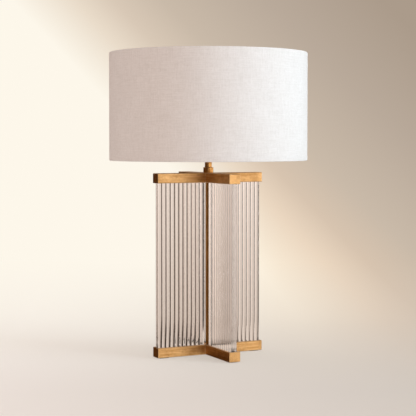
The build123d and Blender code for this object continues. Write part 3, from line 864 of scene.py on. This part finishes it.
# a painted glow that the camera sees on the floor, and its share there
floor_glow_left = (1.0, 0.95, 0.89, 1)
floor_glow_right = (0.70, 0.62, 0.54, 1)
floor_glow_share = 0.35
sweep_start = 0.5
sweep_radius = 1.0
sweep_steps = 24
wall_top = 3.2
floor_reach = 4.5
# the slant of the painted light on the wall, and where it begins and ends, in metres
beam_slope = 0.957
beam_from, beam_to = -1.551, -0.2
light_half_width = 0.50
# the part of that width over which the painted light turns amber
amber_from, amber_to = 0.45, 0.75
# where the floor's painted light gives way to the wall's, in metres along a line that leans up
curve_lean = 0.6
wall_from, wall_to = -0.45, 1.05


def sweep_mesh(finish):
    """Floor, curve and wall as one strip across the line of sight."""
    path = [(-floor_reach, 0.0), (0.0, 0.0), (sweep_start, 0.0)]
    for step in range(1, sweep_steps + 1):
        angle = math.pi / 2 * step / sweep_steps
        path.append((sweep_start + sweep_radius * math.sin(angle),
                     sweep_radius * (1 - math.cos(angle))))
    path.append((sweep_start + sweep_radius, wall_top))
    points, faces = [], []
    for ahead, height in path:
        for side in (-floor_reach, floor_reach):
            points.append(tuple(forward * ahead + rightward * side + up * height))
    for row in range(len(path) - 1):
        faces.append((2 * row, 2 * row + 1, 2 * row + 3, 2 * row + 2))
    return piece("studio_sweep", points, faces, finish)


def reach(tree, spot, direction):
    """How far a place or a direction goes along another direction."""
    far = node(tree, "ShaderNodeVectorMath", operation="DOT_PRODUCT")
    far.inputs[1].default_value = tuple(direction)
    link(tree, (spot, far.inputs[0]))
    return far.outputs["Value"]


def sweep_material():
    """Pale paper lit by the lamps, its colour painted lighter at the left and darker at the right as
    painted light and shade, and, for the camera, partly lit by a painted glow.
    """
    made = bpy.data.materials.new("studio_paper")
    made.use_nodes = True
    tree = made.node_tree
    tree.nodes.remove(tree.nodes["Principled BSDF"])
    output = tree.nodes["Material Output"]
    spot = node(tree, "ShaderNodeTexCoord").outputs["Object"]
    slant = spread(tree, reach(tree, spot, -rightward - up * beam_slope), beam_from, beam_to)
    across = spread(tree, reach(tree, spot, rightward), -light_half_width, light_half_width)
    # painted light on the wall, pale tones at the left and amber ones at the right
    wall = [
        ramp_of(tree, slant, ((0.0, painted_shade), (0.30, painted_dim_light), (0.57, painted_dusk_light),
                              (0.70, half), (0.80, warm), (0.96, glow)))
        for half, warm, glow in ((painted_half_light, painted_warm_light, painted_glow),
                                 (painted_amber_half, painted_amber_warm, painted_amber_glow))
    ]
    wall = blend_colours(tree, "MIX", spread(tree, across, amber_from, amber_to, smooth=True), *wall)
    # painted glow on the floor for the camera
    floor_light = ramp_of(tree, across, ((0, floor_glow_left), (1, floor_glow_right)))
    # the paper's colour with painted light at the left and painted shade at the right
    painted_floor_shading = ramp_of(tree, across, ((0, floor_painted_light), (1, floor_painted_shade)))
    on_wall = spread(tree, reach(tree, spot, forward + up * curve_lean), wall_from, wall_to)
    picture = blend_colours(tree, "MIX", on_wall, floor_light, wall)
    glow_share = spread(tree, on_wall, 0, 1, to=(floor_glow_share, 1))
    for_camera = node(tree, "ShaderNodeLightPath").outputs["Is Camera Ray"]
    lit = node(tree, "ShaderNodeBsdfDiffuse")
    shown = node(tree, "ShaderNodeEmission")
    paper = node(tree, "ShaderNodeMixShader")
    behind = node(tree, "ShaderNodeNewGeometry")
    clear = node(tree, "ShaderNodeBsdfTransparent")
    sided = node(tree, "ShaderNodeMixShader")
    link(tree, (compute(tree, "MULTIPLY", glow_share, for_camera), paper.inputs[0]),
         (painted_floor_shading, lit.inputs["Color"]), (lit.outputs[0], paper.inputs[1]),
         (picture, shown.inputs["Color"]), (shown.outputs[0], paper.inputs[2]),
         (behind.outputs["Backfacing"], sided.inputs[0]), (paper.outputs[0], sided.inputs[1]),
         (clear.outputs[0], sided.inputs[2]), (sided.outputs[0], output.inputs["Surface"]))
    return made


sweep = sweep_mesh(sweep_material())
sweep.visible_glossy = False
sweep.visible_transmission = False

# ---------------------------------------------------------------- studio light
# Warm, soft light from all round, a large cool-white softbox at the right for the shade, and cards
# that only show in metal and glass. What the glass bends into view goes by its direction, in degrees
# to the right of straight ahead: pale ahead, dark beside.

ambient = (0.68, 0.575, 0.525, 1)
camera_surround = (0.86, 0.78, 0.70, 1)
dark_surround = (0.085, 0.038, 0.014, 1)
card_white = (0.70, 0.65, 0.60, 1)
card_way = (0.42, -0.86, -0.28)
card_from, card_to = 0.3, 0.7
paper_from, paper_to = 0.82, 0.96
glass_core = (0.84, 0.72, 0.63, 1)
glass_far = (1.0, 0.88, 0.79, 1)
glass_pale = (1.12, 0.986, 0.885, 1)
glass_line = (0.10, 0.06, 0.042, 1)
glass_black = (0.004, 0.005, 0.006, 1)
glass_brown = (0.06, 0.035, 0.025, 1)
glass_bands = (
    (-74, glass_far), (-67, glass_brown), (-58, glass_brown), (-56, glass_black), (-48, glass_black),
    (-45, glass_brown), (-30, glass_line), (-19, glass_core), (1, glass_core), (6, glass_pale),
    (62, glass_pale), (70, glass_brown), (92, glass_brown), (104, glass_far),
)
# upward parts of a ray's direction: what is seen low through the glass is dimmer, and rays through
# the feet of the slabs have the dark bands nearer to the middle
glass_low = (0.74, 0.72, 0.70, 1)
low_way, level_way = -0.16, -0.03
foot_way, above_foot_way, foot_stretch = -0.166, -0.141, 2.0
light_aim = 0.38

world = bpy.data.worlds.new("studio")
bpy.context.scene.world = world
world.use_nodes = True
tree = world.node_tree
ray_way = node(tree, "ShaderNodeTexCoord").outputs["Generated"]
climb = reach(tree, ray_way, up)
compass = compute(tree, "ARCTAN2", reach(tree, ray_way, rightward), reach(tree, ray_way, forward))
stretch = spread(tree, climb, foot_way, above_foot_way, to=(foot_stretch, 1.0), smooth=True)
turned = spread(tree, compute(tree, "MULTIPLY", compass, stretch), -math.pi, math.pi)
bent = ramp_of(tree, turned, [(0.5 + degrees / 360, colour) for degrees, colour in glass_bands])
dimming = ramp_of(tree, spread(tree, climb, low_way, level_way), ((0, glass_low), (1, white)))
bent = blend_colours(tree, "MULTIPLY", 1.0, bent, dimming)
front_right = spread(tree, reach(tree, ray_way, card_way), card_from, card_to, smooth=True)
mirrored = blend_colours(tree, "MIX", front_right, dark_surround, card_white)
# reflections straight behind show the sweep's painted dusk light
straight_behind = spread(tree, reach(tree, ray_way, forward), paper_from, paper_to, smooth=True)
mirrored = blend_colours(tree, "MIX", straight_behind, mirrored, painted_dusk_light)
rays = node(tree, "ShaderNodeLightPath")
colour = blend_colours(tree, "MIX", rays.outputs["Is Camera Ray"], ambient, camera_surround)
colour = blend_colours(tree, "MIX", rays.outputs["Is Glossy Ray"], colour, mirrored)
colour = blend_colours(tree, "MIX", rays.outputs["Is Transmission Ray"], colour, bent)
link(tree, (colour, tree.nodes["Background"].inputs["Color"]))


def softbox(name, turn, height, distance, width, tall, power, colour, shine):
    """An area light that faces the lamp, for matt surfaces or else only for the shine of metal."""
    light = bpy.data.lights.new(name, "AREA")
    light.shape = "RECTANGLE"
    light.size, light.size_y = width, tall
    light.energy = power
    light.color = colour
    made = bpy.data.objects.new(name, light)
    bpy.context.scene.collection.objects.link(made)
    turn = math.radians(turn)
    away = Vector((math.sin(turn), -math.cos(turn), 0)) * distance + up * height
    made.location = away
    made.rotation_euler = (away - up * light_aim).to_track_quat("Z", "Y").to_euler()
    made.visible_diffuse = not shine
    made.visible_glossy = shine
    made.visible_transmission = False
    return made


softbox("softbox_right", turn=41, height=0.95, distance=1.9, width=1.1, tall=1.3, power=26.5,
        colour=(0.68, 0.87, 0.98), shine=False)
softbox("front_fill", turn=-30, height=0.80, distance=2.6, width=1.6, tall=1.2, power=6,
        colour=(1.0, 0.84, 0.76), shine=False)
softbox("warm_card", turn=26, height=0.42, distance=2.2, width=1.5, tall=1.3, power=6.3,
        colour=(1.0, 0.96, 0.92), shine=True)
softbox("side_strip", turn=84, height=0.60, distance=1.9, width=0.5, tall=1.3, power=9,
        colour=(1.0, 0.95, 0.90), shine=True)

bpy.context.scene.view_settings.view_transform = "Standard"
